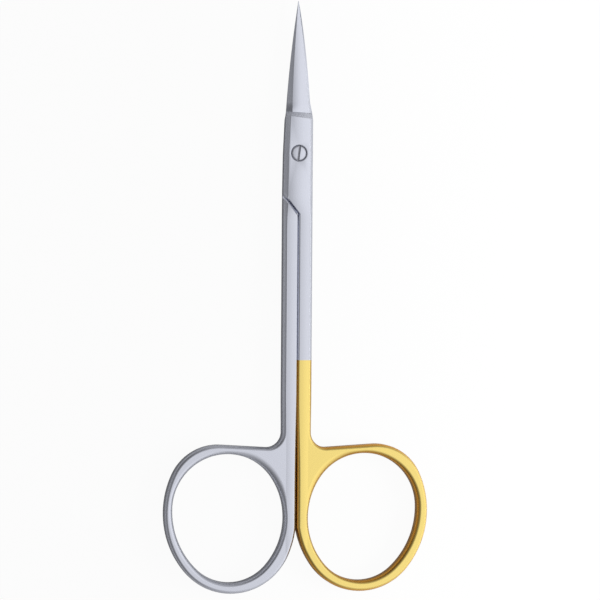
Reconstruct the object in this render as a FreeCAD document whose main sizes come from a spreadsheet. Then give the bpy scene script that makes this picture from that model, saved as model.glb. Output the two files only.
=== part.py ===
import FreeCAD, Part
import Sketcher
import os
from math import atan2, cos, hypot, radians, sin, sqrt, tau

# Straight iris scissors, lying flat and closed.
# Frame: Z is the pivot axis and points up, Z = 0 is the face the scissors lie on, Y points to the tips.
# Each half is drawn as the upper one lies: its shank and ring on the +X side, its blade across the axis,
# with the spine on the -X side. The lower half is the same forging turned over about the Y axis.

# name, size in millimetres (or degrees), what it measures
SIZES = (
    ("thickness", 3.2, "shanks, rings and the closed joint, underside to top"),
    ("half_width", 2.86, "pivot axis to the outer side of joint and shank"),
    ("lap_gap", 0.04, "running gap between the flat inner faces at the joint"),
    ("seam_gap", 0.06, "gap between the two shanks when closed"),
    ("edge_bevel", 0.75, "bevel along the outer edges of joint, shank and ring"),
    ("hole_bevel", 0.7, "bevel round the finger hole"),
    ("seam_bevel", 0.25, "small bevel along the seam edge of the shank"),
    ("seam_stock", 2.5, "forging left beyond the seam until the flat is ground"),
    # lap shoulder: where the full thickness of the shank ends below the joint
    ("shoulder_outer", 8.8, "pivot axis down to the shoulder, at the outer side"),
    ("shoulder_slant", 3.6, "how much lower the shoulder lies at the seam"),
    ("shoulder_gap", 0.7, "gap between shoulder and the other half's lap, along Y"),
    # finger ring, outer outline: an egg shape of tangent arcs
    ("ring_reach", 66.2, "pivot axis down to the centre of the upper arc"),
    ("ring_stretch", 6.95, "from there down to the centre of the lower arc"),
    ("ring_top_radius", 9.75, "upper arc"),
    ("ring_top_gap", 5.57, "from the seam to the nearest point of the upper arc's circle"),
    ("ring_bottom_radius", 12.03, "lower arc"),
    ("ring_bottom_gap", 0.44, "from the seam to the nearest point of the lower arc's circle"),
    ("ring_outer_radius", 17.7, "long arc on the outer side"),
    ("ring_inner_radius", 18.0, "arc that leaves the seam"),
    ("parting_rise", 0.65, "how far above the lower arc's centre the two rings part"),
    ("gold_ring_shift", 0.45, "how much further out the plated ring's outline stands"),
    ("crotch_radius", 2.9, "round corner between shank and ring"),
    ("web_slope", 3.5, "fall of the ring's top edge towards the shank, degrees"),
    # finger hole: a second egg of four tangent arcs, each set from the ring's
    ("hole_top_wall", 1.8, "width of the ring above the hole"),
    ("hole_top_shift", 0.365, "from midway between the ring's two centres to its upper arc's, seamward"),
    ("hole_top_shrink", 0.29, "how much smaller the upper arc is than the mean of the ring's two"),
    ("hole_bottom_shift", 0.31, "how much further out its lower arc's centre is than the ring's"),
    ("hole_bottom_drop", 0.66, "how much lower the lower arc's centre is"),
    ("hole_bottom_wall", 2.75, "how much smaller the lower arc is than the ring's"),
    ("hole_outer_wall", 1.9, "how much smaller the long outer arc is than the ring's"),
    ("hole_inner_growth", 3.34, "how much larger the long arc on the seam side is than the upper arc"),
    # blade
    ("blade_reach", 29.6, "pivot axis to the tip"),
    ("side_straight", 0.6, "straight end of the joint's side, below which the lap stops"),
    ("tip_half_width", 0.06, "axis to the spine at the tip"),
    ("grind_start", 6.95, "pivot axis to where the grind leaves the joint's face"),
    ("grind_run", 1.05, "from there up to the foot of the grind, the heel"),
    ("corner_run", 1.9, "from the heel up to where the cutting edge begins"),
    ("corner_edge", 2.42, "axis to the cutting edge where it begins"),
    ("tip_edge", 0.05, "how far the cutting edge passes the axis at the tip"),
    ("edge_setback", 0.22, "how much further in the lower blade's edge begins"),
    ("spine_lead", 0.18, "how much further out the lower blade's spine runs"),
    ("heel_relief", 0.02, "step by which the ground blade stands in from the joint"),
    ("heel_thickness", 0.85, "blade at the spine's bevel, at the heel"),
    ("tip_thickness", 0.24, "the same at the tip"),
    ("heel_spine_side", 0.38, "height of the spine's flat side, at the heel"),
    ("tip_spine_side", 0.12, "the same at the tip"),
    ("heel_edge_thickness", 0.36, "blade where the last bevel to the edge begins, at the heel"),
    ("tip_edge_thickness", 0.14, "the same at the tip"),
    ("edge_land", 0.06, "thickness left at the cutting edge"),
    ("hollow_start", 0.0175, "depth of the hollow in the inner face where the grind starts"),
    ("hollow_depth", 0.07, "the same at the heel"),
    ("tip_hollow", 0.02, "the same at the tip"),
    # pivot screw
    ("screw_radius", 1.0, "shank and thread"),
    ("head_radius", 1.5, "screw head"),
    ("head_height", 0.95, "screw head"),
    ("head_chamfer", 0.18, "broken edge of head and seat"),
    ("bore_fit", 0.03, "radial clearance of the shank in the upper half"),
    ("head_fit", 0.05, "clearance round and under the head"),
    ("thread_fit", 0.02, "radial clearance left for the thread"),
    ("slot_width", 0.45, "screwdriver slot"),
    ("slot_depth", 0.5, "screwdriver slot"),
    ("slot_turn", 7.0, "how far the slot leans from the length, degrees"),
)
BLADE_STATIONS = (0.0, 0.25, 0.5, 0.75, 1.0)
# the blade's two outer bevels, as shares of its width from spine to edge
SPINE_BEVEL = 0.22
EDGE_BEVEL = 0.12
# the bevel round the finger hole takes no more than this share of the flat that the outer bevel leaves
WALL_SHARE = 0.9
# two places this close, in millimetres, are the same place
TOUCHING = 0.001

doc = FreeCAD.newDocument("iris_scissors")
sheet = doc.addObject("Spreadsheet::Sheet", "sizes")
for row, (alias, size, meaning) in enumerate(SIZES, start=1):
    sheet.set(f"A{row}", meaning)
    sheet.set(f"B{row}", str(size))
    sheet.setAlias(f"B{row}", alias)
doc.recompute()

INNER_FACE = "(sizes.thickness + sizes.lap_gap) / 2"
SEAM = "sizes.seam_gap / 2"
SHOULDER_INNER = "(sizes.shoulder_outer + sizes.shoulder_slant)"
HEEL_REACH = "(sizes.grind_start + sizes.grind_run)"
CORNER_REACH = f"({HEEL_REACH} + sizes.corner_run)"
LAP_END = "(sizes.shoulder_outer - sizes.shoulder_gap)"
SPINE_START = f"({LAP_END} - sizes.side_straight)"
# centres of the ring's and the hole's arcs, out from the seam plane and down from the pivot
RING_BOTTOM_X = f"({SEAM} + sizes.ring_bottom_gap + sizes.ring_bottom_radius)"
RING_BOTTOM_Y = "(sizes.ring_reach + sizes.ring_stretch)"
RING_TOP_X = f"({SEAM} + sizes.ring_top_gap + sizes.ring_top_radius)"
PARTING = f"({RING_BOTTOM_Y} - sizes.parting_rise)"
HOLE_TOP_RADIUS = "((sizes.ring_top_radius + sizes.ring_bottom_radius) / 2 - sizes.hole_top_shrink)"
HOLE_TOP_X = f"(({RING_TOP_X} + {RING_BOTTOM_X}) / 2 - sizes.hole_top_shift)"
HOLE_TOP_Y = f"(sizes.ring_reach - sizes.ring_top_radius + sizes.hole_top_wall + {HOLE_TOP_RADIUS})"
HOLE_BOTTOM_X = f"({RING_BOTTOM_X} + sizes.hole_bottom_shift)"
HOLE_BOTTOM_Y = f"({RING_BOTTOM_Y} + sizes.hole_bottom_drop)"
HOLE_BOTTOM_RADIUS = "(sizes.ring_bottom_radius - sizes.hole_bottom_wall)"
HOLE_OUTER_RADIUS = "(sizes.ring_outer_radius - sizes.hole_outer_wall)"
HOLE_INNER_RADIUS = f"({HOLE_TOP_RADIUS} + sizes.hole_inner_growth)"
# radius of the spine: tangent to the joint's side where it begins, and through the tip
SPINE_LENGTH = f"(sizes.blade_reach + {SPINE_START})"
SPINE_DROP = "(sizes.half_width - sizes.tip_half_width)"
SPINE_RADIUS = f"(({SPINE_LENGTH}^2 + {SPINE_DROP}^2) / (2 * {SPINE_DROP}))"


def number(expression):
    """The value that an expression on the size sheet has now."""
    return float(sheet.evalExpression(expression))


def spine_at(reach):
    """Expression for the distance from the axis to the spine at a distance up the blade."""
    along = f"({reach} + {SPINE_START})"
    return f"(sizes.half_width - ({SPINE_RADIUS} - sqrt({SPINE_RADIUS}^2 - {along}^2)))"


def sketch_on(body, name, role, offset="0"):
    """A sketch on one of the body's own origin planes, moved along the plane's normal."""
    plane = next(part for part in body.Origin.OriginFeatures if part.Role == role)
    sketch = body.newObject("Sketcher::SketchObject", name)
    sketch.AttachmentSupport = [(plane, "")]
    sketch.MapMode = "FlatFace"
    sketch.setExpression("AttachmentOffset.Base.z", offset)
    return sketch


def bind(sketch, kind, where, expression):
    """Add a dimension whose value follows an expression on the size sheet."""
    index = sketch.addConstraint(Sketcher.Constraint(kind, *where, number(expression)))
    sketch.setExpression(f"Constraints[{index}]", expression)


def place(sketch, geometry, point, across, along):
    """Fix a point of the sketch by its two distances from the sketch's origin."""
    bind(sketch, "DistanceX", (-1, 1, geometry, point), across)
    bind(sketch, "DistanceY", (-1, 1, geometry, point), along)


def polygon(sketch, corners):
    """A closed outline of straight lines through corners given as pairs of expressions."""
    points = [FreeCAD.Vector(number(across), number(along), 0) for across, along in corners]
    for index, point in enumerate(points):
        following = points[(index + 1) % len(points)]
        sketch.addGeometry(Part.LineSegment(point, following), False)
    for index in range(len(points)):
        sketch.addConstraint(Sketcher.Constraint("Coincident", index, 2, (index + 1) % len(points), 1))
    for index, (across, along) in enumerate(corners):
        place(sketch, index, 1, across, along)


def enclosing_centre(first, first_radius, second, second_radius, radius, side):
    """Centre of the larger circle that touches two circles from outside them, on the -X or +X side."""
    span = hypot(second[0] - first[0], second[1] - first[1])
    to_first = radius - first_radius
    to_second = radius - second_radius
    along = (to_first**2 - to_second**2 + span**2) / (2 * span)
    away = sqrt(to_first**2 - along**2)
    unit = ((second[0] - first[0]) / span, (second[1] - first[1]) / span)
    normal = (unit[1], -unit[0])
    sign = side if normal[0] > 0 else -side
    return (
        first[0] + unit[0] * along + sign * normal[0] * away,
        first[1] + unit[1] * along + sign * normal[1] * away,
    )


def direction(centre, point):
    """Angle of the way from one point to another, from 0 to a full turn."""
    return atan2(point[1] - centre[1], point[0] - centre[0]) % tau


def arc(centre, radius, start, end):
    """Arc that runs anticlockwise from one angle to another."""
    circle = Part.Circle(FreeCAD.Vector(*centre, 0), FreeCAD.Vector(0, 0, 1), radius)
    return Part.ArcOfCircle(circle, start, end)


def handle_outline(sketch, shift):
    """Shank and ring in plan as forged: the ring's outline runs on past the seam into spare stock."""
    seam = number(SEAM)
    side = number("sizes.half_width")
    parting = number(f"-{PARTING}")
    top = (number(f"{RING_TOP_X} + {shift}"), number("-sizes.ring_reach"))
    bottom = (number(f"{RING_BOTTOM_X} + {shift}"), number(f"-{RING_BOTTOM_Y}"))
    top_radius = number("sizes.ring_top_radius")
    bottom_radius = number("sizes.ring_bottom_radius")
    outer_radius = number("sizes.ring_outer_radius")
    inner_radius = number("sizes.ring_inner_radius")
    crotch = number("sizes.crotch_radius")
    slope = radians(number("sizes.web_slope"))
    outer = enclosing_centre(top, top_radius, bottom, bottom_radius, outer_radius, -1)
    inner = enclosing_centre((seam, parting), 0, bottom, bottom_radius, inner_radius, 1)
    outer_low = direction(outer, bottom)
    outer_high = direction(outer, top)
    normal = (-sin(slope), cos(slope))
    web_end = (top[0] + top_radius * normal[0], top[1] + top_radius * normal[1])
    crotch_x = side + crotch
    crotch_y = web_end[1] + (crotch - (crotch_x - web_end[0]) * normal[0]) / normal[1]
    web_start = (crotch_x - crotch * normal[0], crotch_y - crotch * normal[1])
    inner_end = direction(inner, bottom)
    shoulder = (side, number("-sizes.shoulder_outer"))
    corner = (seam, number(f"-{SHOULDER_INNER}"))
    leaving = direction(inner, (seam, parting))
    spare = number("sizes.seam_stock")
    run_out_x = -spare / 2
    run_out = (run_out_x, parting + (seam - run_out_x) * cos(leaving) / sin(leaving))

    def line(start, end):
        return Part.LineSegment(FreeCAD.Vector(*start, 0), FreeCAD.Vector(*end, 0))

    outline = [
        line(run_out, (seam, parting)),
        arc(inner, inner_radius, leaving, inner_end),
        arc(bottom, bottom_radius, inner_end, outer_low),
        arc(outer, outer_radius, outer_low, outer_high),
        arc(top, top_radius, outer_high, atan2(normal[1], normal[0])),
        line(web_end, web_start),
        arc((crotch_x, crotch_y), crotch, radians(180), radians(270) + slope),
        line((side, crotch_y), shoulder),
        line(shoulder, corner),
        line(corner, (-spare, corner[1])),
        line((-spare, corner[1]), (-spare, run_out[1])),
        line((-spare, run_out[1]), run_out),
    ]
    sketch.addGeometry(outline, False)
    rule = Sketcher.Constraint
    sketch.addConstraint([
        rule("Tangent", 0, 2, 1, 1),
        rule("Tangent", 1, 2, 2, 1),
        rule("Tangent", 2, 2, 3, 1),
        rule("Tangent", 3, 2, 4, 1),
        rule("Tangent", 4, 2, 5, 1),
        rule("Tangent", 5, 2, 6, 2),
        rule("Tangent", 6, 1, 7, 1),
        rule("Coincident", 7, 2, 8, 1),
        rule("Coincident", 8, 2, 9, 1),
        rule("Coincident", 9, 2, 10, 1),
        rule("Coincident", 10, 2, 11, 1),
        rule("Coincident", 11, 2, 0, 1),
        rule("Vertical", 7),
        rule("Horizontal", 9),
        rule("Vertical", 10),
        rule("Horizontal", 11),
    ])
    place(sketch, 0, 2, SEAM, f"-{PARTING}")
    bind(sketch, "DistanceX", (-1, 1, 0, 1), "-sizes.seam_stock / 2")
    place(sketch, 9, 1, SEAM, f"-{SHOULDER_INNER}")
    bind(sketch, "DistanceX", (-1, 1, 9, 2), "-sizes.seam_stock")
    place(sketch, 8, 1, "sizes.half_width", "-sizes.shoulder_outer")
    bind(sketch, "Radius", (1,), "sizes.ring_inner_radius")
    place(sketch, 2, 3, f"{RING_BOTTOM_X} + {shift}", f"-{RING_BOTTOM_Y}")
    bind(sketch, "Radius", (2,), "sizes.ring_bottom_radius")
    bind(sketch, "Radius", (3,), "sizes.ring_outer_radius")
    place(sketch, 4, 3, f"{RING_TOP_X} + {shift}", "-sizes.ring_reach")
    bind(sketch, "Radius", (4,), "sizes.ring_top_radius")
    bind(sketch, "Radius", (6,), "sizes.crotch_radius")
    bind(sketch, "DistanceY", (4, 3, 4, 2), "sizes.ring_top_radius * cos(sizes.web_slope * 1 deg)")


def hole_outline(sketch):
    """Finger hole in plan: an egg of four tangent arcs."""
    top = (number(HOLE_TOP_X), number(f"-{HOLE_TOP_Y}"))
    bottom = (number(HOLE_BOTTOM_X), number(f"-{HOLE_BOTTOM_Y}"))
    top_radius = number(HOLE_TOP_RADIUS)
    bottom_radius = number(HOLE_BOTTOM_RADIUS)
    outer_radius = number(HOLE_OUTER_RADIUS)
    inner_radius = number(HOLE_INNER_RADIUS)
    outer = enclosing_centre(top, top_radius, bottom, bottom_radius, outer_radius, -1)
    inner = enclosing_centre(top, top_radius, bottom, bottom_radius, inner_radius, 1)
    inner_high = direction(inner, top)
    inner_low = direction(inner, bottom)
    outer_low = direction(outer, bottom)
    outer_high = direction(outer, top)
    outline = [
        arc(inner, inner_radius, inner_high, inner_low),
        arc(bottom, bottom_radius, inner_low, outer_low),
        arc(outer, outer_radius, outer_low, outer_high),
        arc(top, top_radius, outer_high, inner_high),
    ]
    sketch.addGeometry(outline, False)
    for index in range(len(outline)):
        following = (index + 1) % len(outline)
        sketch.addConstraint(Sketcher.Constraint("Tangent", index, 2, following, 1))
    bind(sketch, "Radius", (0,), HOLE_INNER_RADIUS)
    place(sketch, 1, 3, HOLE_BOTTOM_X, f"-{HOLE_BOTTOM_Y}")
    bind(sketch, "Radius", (1,), HOLE_BOTTOM_RADIUS)
    bind(sketch, "Radius", (2,), HOLE_OUTER_RADIUS)
    place(sketch, 3, 3, HOLE_TOP_X, f"-{HOLE_TOP_Y}")
    bind(sketch, "Radius", (3,), HOLE_TOP_RADIUS)


def pad(body, name, sketch, height):
    """Material from the sketch's plane upwards."""
    feature = body.newObject("PartDesign::Pad", name)
    feature.Profile = sketch
    feature.setExpression("Length", height)
    doc.recompute()
    return feature


def pocket(body, name, sketch, depth):
    """Material taken away from the sketch's plane downwards."""
    before = body.Shape.Volume
    feature = body.newObject("PartDesign::Pocket", name)
    feature.Profile = sketch
    feature.setExpression("Length", depth)
    doc.recompute()
    if body.Shape.Volume >= before:
        raise RuntimeError(f"{name} takes nothing away from {body.Label}")
    return feature


def chamfer(body, name, size, wanted):
    """Bevel on the edges of the body that a test picks by their ends."""
    base = body.Tip
    edges = [f"Edge{index}" for index, edge in enumerate(base.Shape.Edges, start=1) if wanted(edge)]
    feature = body.newObject("PartDesign::Chamfer", name)
    feature.Base = (base, edges)
    feature.setExpression("Size", size)
    doc.recompute()
    return feature


def at(low, high, wanted):
    """True where a span of an edge's box has shrunk to the wanted place."""
    return abs(low - wanted) < TOUCHING and abs(high - wanted) < TOUCHING


def level(edge, height):
    """True for an edge that lies at one height."""
    return at(edge.BoundBox.ZMin, edge.BoundBox.ZMax, height)


def lap_outline(sketch, flush):
    """The flat lap at the joint in plan, with a tongue that runs down into the shank.
    Its spine side curves in; its other side does so too where it is ground flush with the other half."""
    side = number("sizes.half_width")
    start = number(f"-{SPINE_START}")
    radius = number(SPINE_RADIUS)
    reach = number("sizes.grind_start")
    spine = number(f"-{spine_at('sizes.grind_start')}")
    tongue = number(f"-{SHOULDER_INNER} - sizes.half_width")
    seam = number(SEAM)
    low_inner = number(f"-{SHOULDER_INNER} + sizes.shoulder_gap")
    low_outer = number(f"-{LAP_END}")
    centre = (radius - side, start)
    turn = direction(centre, (spine, reach))
    edge = -spine if flush else side

    def line(x1, y1, x2, y2):
        return Part.LineSegment(FreeCAD.Vector(x1, y1, 0), FreeCAD.Vector(x2, y2, 0))

    outline = [
        line(edge, reach, spine, reach),
        arc(centre, radius, turn, radians(180)),
        line(-side, start, -side, low_outer),
        line(-side, low_outer, seam, low_inner),
        line(seam, low_inner, seam, tongue),
        line(seam, tongue, side, tongue),
        line(side, tongue, side, start if flush else reach),
    ]
    if flush:
        outline.append(arc((side - radius, start), radius, 0, radians(180) - turn))
    sketch.addGeometry(outline, False)
    rule = Sketcher.Constraint
    sketch.addConstraint([
        rule("Coincident", 0, 2, 1, 1),
        rule("Tangent", 1, 2, 2, 1),
        rule("Coincident", 2, 2, 3, 1),
        rule("Coincident", 3, 2, 4, 1),
        rule("Coincident", 4, 2, 5, 1),
        rule("Coincident", 5, 2, 6, 1),
        rule("Horizontal", 0),
        rule("Vertical", 2),
        rule("Vertical", 4),
        rule("Horizontal", 5),
        rule("Vertical", 6),
    ])
    place(sketch, 2, 1, "-sizes.half_width", f"-{SPINE_START}")
    bind(sketch, "Radius", (1,), SPINE_RADIUS)
    bind(sketch, "DistanceY", (-1, 1, 2, 2), f"-{LAP_END}")
    place(sketch, 4, 1, SEAM, f"-{SHOULDER_INNER} + sizes.shoulder_gap")
    bind(sketch, "DistanceY", (-1, 1, 4, 2), f"-{SHOULDER_INNER} - sizes.half_width")
    if flush:
        sketch.addConstraint([rule("Tangent", 6, 2, 7, 1), rule("Coincident", 7, 2, 0, 1)])
        place(sketch, 6, 2, "sizes.half_width", f"-{SPINE_START}")
        bind(sketch, "Radius", (7,), SPINE_RADIUS)
        bind(sketch, "DistanceY", (-1, 1, 0, 1), "sizes.grind_start")
    else:
        sketch.addConstraint(rule("Coincident", 6, 2, 0, 1))
        place(sketch, 0, 1, "sizes.half_width", "sizes.grind_start")


def side_at(reach, flush):
    """Expression for the joint's side away from the spine, a step in, at a distance up from the pivot."""
    side = spine_at(reach) if flush else "sizes.half_width"
    return f"({side} - sizes.heel_relief)"


def grind_corners(flush):
    """Section of the blade where the grind leaves the joint's face, a step inside its full section."""
    spine = f"(-{spine_at('sizes.grind_start')} + sizes.heel_relief)"
    edge = side_at("sizes.grind_start", flush)
    inner = f"({INNER_FACE} + sizes.heel_relief)"
    top = "(sizes.thickness - sizes.heel_relief)"
    side = f"({top} - sizes.edge_bevel)"
    return (
        (spine, inner),
        (f"({spine} + {edge}) / 2", f"{inner} + sizes.hollow_start"),
        (edge, inner),
        (edge, side),
        (f"{edge} - sizes.edge_bevel", top),
        (f"{spine} + sizes.edge_bevel", top),
        (spine, side),
    )


def blade_corners(reach, share, lead, edge):
    """Section of the blade at a distance up from the pivot and a share of the way to the tip."""
    def between(heel, tip):
        return f"(sizes.{heel} + {share} * (sizes.{tip} - sizes.{heel}))"

    spine = f"(-{spine_at(reach)} - {lead})"
    width = f"({edge} - {spine})"
    inner = f"({INNER_FACE} + sizes.heel_relief)"
    return (
        (spine, inner),
        (f"({spine} + {edge}) / 2", f"{inner} + {between('hollow_depth', 'tip_hollow')}"),
        (edge, inner),
        (edge, f"{inner} + sizes.edge_land"),
        (f"{edge} - {EDGE_BEVEL} * {width}",
         f"{inner} + {between('heel_edge_thickness', 'tip_edge_thickness')}"),
        (f"{spine} + {SPINE_BEVEL} * {width}", f"{inner} + {between('heel_thickness', 'tip_thickness')}"),
        (spine, f"{inner} + {between('heel_spine_side', 'tip_spine_side')}"),
    )


def section(body, name, reach, corners):
    """Closed section across the blade at a distance up from the pivot."""
    sketch = sketch_on(body, name, "XZ_Plane", f"-({reach})")
    polygon(sketch, corners)
    doc.recompute()
    return sketch


def loft(body, name, sections, ruled):
    """Solid through a row of sections."""
    feature = body.newObject("PartDesign::AdditiveLoft", name)
    feature.Profile = sections[0]
    feature.Sections = sections[1:]
    feature.Ruled = ruled
    doc.recompute()
    return feature


def circle_on(body, name, height, radius):
    """A circle round the pivot axis at a height."""
    sketch = sketch_on(body, name, "XY_Plane", height)
    centre = FreeCAD.Vector(0, 0, 0)
    sketch.addGeometry(Part.Circle(centre, FreeCAD.Vector(0, 0, 1), number(radius)), False)
    sketch.addConstraint(Sketcher.Constraint("Coincident", 0, 3, -1, 1))
    bind(sketch, "Radius", (0,), radius)
    return sketch


def build_half(label, shift, flush):
    """One forged half, up to the point where the screw's hole is made in it."""
    body = doc.addObject("PartDesign::Body", label)
    body.Label = label
    top = number("sizes.thickness")
    side = number("sizes.half_width")
    seam = number(SEAM)

    outline = sketch_on(body, f"{label}_handle_outline", "XY_Plane")
    handle_outline(outline, shift)
    pad(body, f"{label}_handle", outline, "sizes.thickness")

    hole = sketch_on(body, f"{label}_hole_outline", "XY_Plane", "sizes.thickness")
    hole_outline(hole)
    pocket(body, f"{label}_finger_hole", hole, "sizes.thickness")

    lap = sketch_on(body, f"{label}_lap_outline", "XY_Plane", INNER_FACE)
    lap_outline(lap, flush)
    pad(body, f"{label}_lap", lap, f"sizes.thickness - {INNER_FACE}")

    shoulder = number("-sizes.shoulder_outer")
    hole_box = hole.Shape.BoundBox
    hole_box.enlarge(TOUCHING)

    def on_faces(edge):
        return level(edge, 0) or level(edge, top)

    def round_hole(edge):
        box = edge.BoundBox
        across = hole_box.XMin < box.XMin and box.XMax < hole_box.XMax
        along = hole_box.YMin < box.YMin and box.YMax < hole_box.YMax
        return on_faces(edge) and across and along

    def along_outside(edge):
        box = edge.BoundBox
        on_side = at(box.XMin, box.XMax, side)
        on_spine = box.XMax < -seam and box.YMin > shoulder and box.YLength > side / 2
        return on_faces(edge) and (on_side or on_spine)

    def along_seam(edge):
        return on_faces(edge) and at(edge.BoundBox.XMin, edge.BoundBox.XMax, seam)

    chamfer(body, f"{label}_edge_bevels", "sizes.edge_bevel", along_outside)
    flat = max((face for face in body.Shape.Faces if level(face, top)), key=lambda face: face.Area)
    wall = flat.OuterWire.distToShape(hole.Shape)[0]
    chamfer(body, f"{label}_hole_bevels", f"min(sizes.hole_bevel; {WALL_SHARE} * {wall})", round_hole)
    stock = sketch_on(body, f"{label}_seam_cut", "XY_Plane", "sizes.thickness")
    polygon(stock, (
        ("-2 * sizes.seam_stock", f"-2 * {PARTING}"),
        (SEAM, f"-2 * {PARTING}"),
        (SEAM, f"-{SHOULDER_INNER}"),
        ("-2 * sizes.seam_stock", f"-{SHOULDER_INNER}"),
    ))
    pocket(body, f"{label}_seam", stock, "sizes.thickness")
    chamfer(body, f"{label}_seam_bevels", "sizes.seam_bevel", along_seam)

    edge_start = "(sizes.corner_edge - sizes.edge_setback)" if flush else "sizes.corner_edge"
    grind = section(body, f"{label}_grind_start", "sizes.grind_start", grind_corners(flush))
    heel_corners = blade_corners(HEEL_REACH, 0, 0, side_at(HEEL_REACH, flush))
    heel = section(body, f"{label}_heel_foot", HEEL_REACH, heel_corners)
    stations = []
    for index, share in enumerate(BLADE_STATIONS):
        reach = f"({CORNER_REACH} + {share} * (sizes.blade_reach - {CORNER_REACH}))"
        edge = f"({edge_start} + {share} * (sizes.tip_edge - {edge_start}))"
        lead = f"sizes.spine_lead * (1 - {share} ^ 4)" if flush else 0
        corners = blade_corners(reach, share, lead, edge)
        stations.append(section(body, f"{label}_blade_{index}", reach, corners))
    loft(body, f"{label}_heel", [grind, heel, stations[0]], True)
    loft(body, f"{label}_blade", stations, False)
    return body


def build_screw(label):
    """Slotted screw: its head flush with the upper face, its end flush with the underside."""
    body = doc.addObject("PartDesign::Body", label)
    body.Label = label
    profile = sketch_on(body, f"{label}_profile", "XZ_Plane")
    head_base = "(sizes.thickness - sizes.head_height)"
    polygon(profile, (
        ("0", "0"),
        ("sizes.screw_radius - sizes.head_chamfer", "0"),
        ("sizes.screw_radius", "sizes.head_chamfer"),
        ("sizes.screw_radius", head_base),
        ("sizes.head_radius", head_base),
        ("sizes.head_radius", "sizes.thickness - sizes.head_chamfer"),
        ("sizes.head_radius - sizes.head_chamfer", "sizes.thickness"),
        ("0", "sizes.thickness"),
    ))
    turned = body.newObject("PartDesign::Revolution", f"{label}_turned")
    turned.Profile = profile
    turned.ReferenceAxis = (profile, ["V_Axis"])
    turned.Angle = 360
    doc.recompute()

    slot = sketch_on(body, f"{label}_slot_outline", "XY_Plane", "sizes.thickness")
    across = "sizes.slot_width / 2"
    along = "2 * sizes.head_radius"
    lean = "(sizes.slot_turn * 1 deg)"
    polygon(slot, [
        (f"{side} * {across} * cos({lean}) + {end} * {along} * sin({lean})",
         f"-({side}) * {across} * sin({lean}) + {end} * {along} * cos({lean})")
        for side, end in ((-1, -1), (1, -1), (1, 1), (-1, 1))
    ])
    pocket(body, f"{label}_slot", slot, "sizes.slot_depth")
    return body


upper = build_half("gold_ring_half", "sizes.gold_ring_shift", flush=False)
seat = circle_on(upper, "screw_seat_circle", "sizes.thickness", "sizes.head_radius + sizes.head_fit")
pocket(upper, "screw_seat", seat, "sizes.head_height + sizes.head_fit")
bore = circle_on(upper, "screw_bore_circle", "sizes.thickness", "sizes.screw_radius + sizes.bore_fit")
pocket(upper, "screw_bore", bore, "sizes.thickness")


def seat_rim(edge):
    """The seat's edge on the upper face."""
    rim = number("sizes.head_radius + sizes.head_fit")
    box = edge.BoundBox
    return level(edge, number("sizes.thickness")) and at(box.XMax, box.YMax, rim)


chamfer(upper, "screw_seat_rim", "sizes.head_chamfer", seat_rim)

lower = build_half("steel_ring_half", "0", flush=True)
thread = circle_on(lower, "screw_thread_circle", "sizes.thickness", "sizes.screw_radius + sizes.thread_fit")
pocket(lower, "screw_thread", thread, "sizes.thickness")
lower.Placement = FreeCAD.Placement(FreeCAD.Vector(0, 0, 0), FreeCAD.Rotation(FreeCAD.Vector(0, 1, 0), 180))
lower.setExpression("Placement.Base.z", "sizes.thickness")

screw = build_screw("pivot_screw")
doc.recompute()

for item in doc.Objects:
    if "Invalid" in item.State or "Error" in item.State:
        raise RuntimeError(f"{item.Label} did not build")

os.makedirs("parts", exist_ok=True)
for body in (upper, lower, screw):
    shape = body.Shape
    if shape.isNull() or not shape.isValid() or len(shape.Solids) != 1:
        raise RuntimeError(f"{body.Label} is not one sound solid")
    shape.exportStep(f"parts/{body.Label}.step")
    print(body.Label, round(shape.Volume, 2), "mm3")
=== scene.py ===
# %% [markdown]
# # Iris scissors, dressed for the picture
# Small straight scissors for eye surgery lie closed on a white table. Two forged halves cross at a slotted
# screw. One finger ring is gold plated, the other is plain steel.
#
# The part comes in as solids that already have the right size. This lesson gives each of them a finer
# surface: edges that are polished round, ground blades, brushed steel and gold. Lengths are in millimetres
# from the screw's axis, until a finished mesh is scaled to Blender's metres.

from collections import namedtuple
from math import atan2, ceil, cos, hypot, pi, radians, sin, sqrt, tau

import bmesh
import bpy
from mathutils import Matrix, Vector


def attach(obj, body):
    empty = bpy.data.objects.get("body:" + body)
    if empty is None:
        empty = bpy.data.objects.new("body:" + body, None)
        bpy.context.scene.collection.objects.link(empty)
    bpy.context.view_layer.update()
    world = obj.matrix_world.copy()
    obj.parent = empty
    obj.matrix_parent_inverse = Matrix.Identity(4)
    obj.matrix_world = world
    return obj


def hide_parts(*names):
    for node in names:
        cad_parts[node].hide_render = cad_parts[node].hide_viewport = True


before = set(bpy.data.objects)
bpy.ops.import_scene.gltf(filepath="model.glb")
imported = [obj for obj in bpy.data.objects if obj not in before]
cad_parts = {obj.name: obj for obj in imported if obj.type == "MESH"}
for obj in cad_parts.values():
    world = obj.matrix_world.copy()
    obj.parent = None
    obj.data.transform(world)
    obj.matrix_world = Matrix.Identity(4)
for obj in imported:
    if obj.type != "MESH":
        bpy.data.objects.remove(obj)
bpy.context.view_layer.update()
MM = 0.001

# %% [markdown]
# ## Sizes
# The outline of each half is the one that the solids have, so the same few sizes give it here. A ring is
# two small arcs, at its top and bottom, and two large ones that join them.

# %% The sizes of the forging
THICKNESS = 3.2
INNER_FACE = 1.62
HALF_WIDTH = 2.86
SEAM = 0.03

# the shoulder on the right of the shank, and the lap's slanted end on the left of the joint
SHOULDER = (HALF_WIDTH, -8.8)
SHOULDER_FOOT = (SEAM, -12.4)
LAP_CORNER = (-HALF_WIDTH, -8.05)
LAP_FOOT = (SEAM, -11.65)

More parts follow.
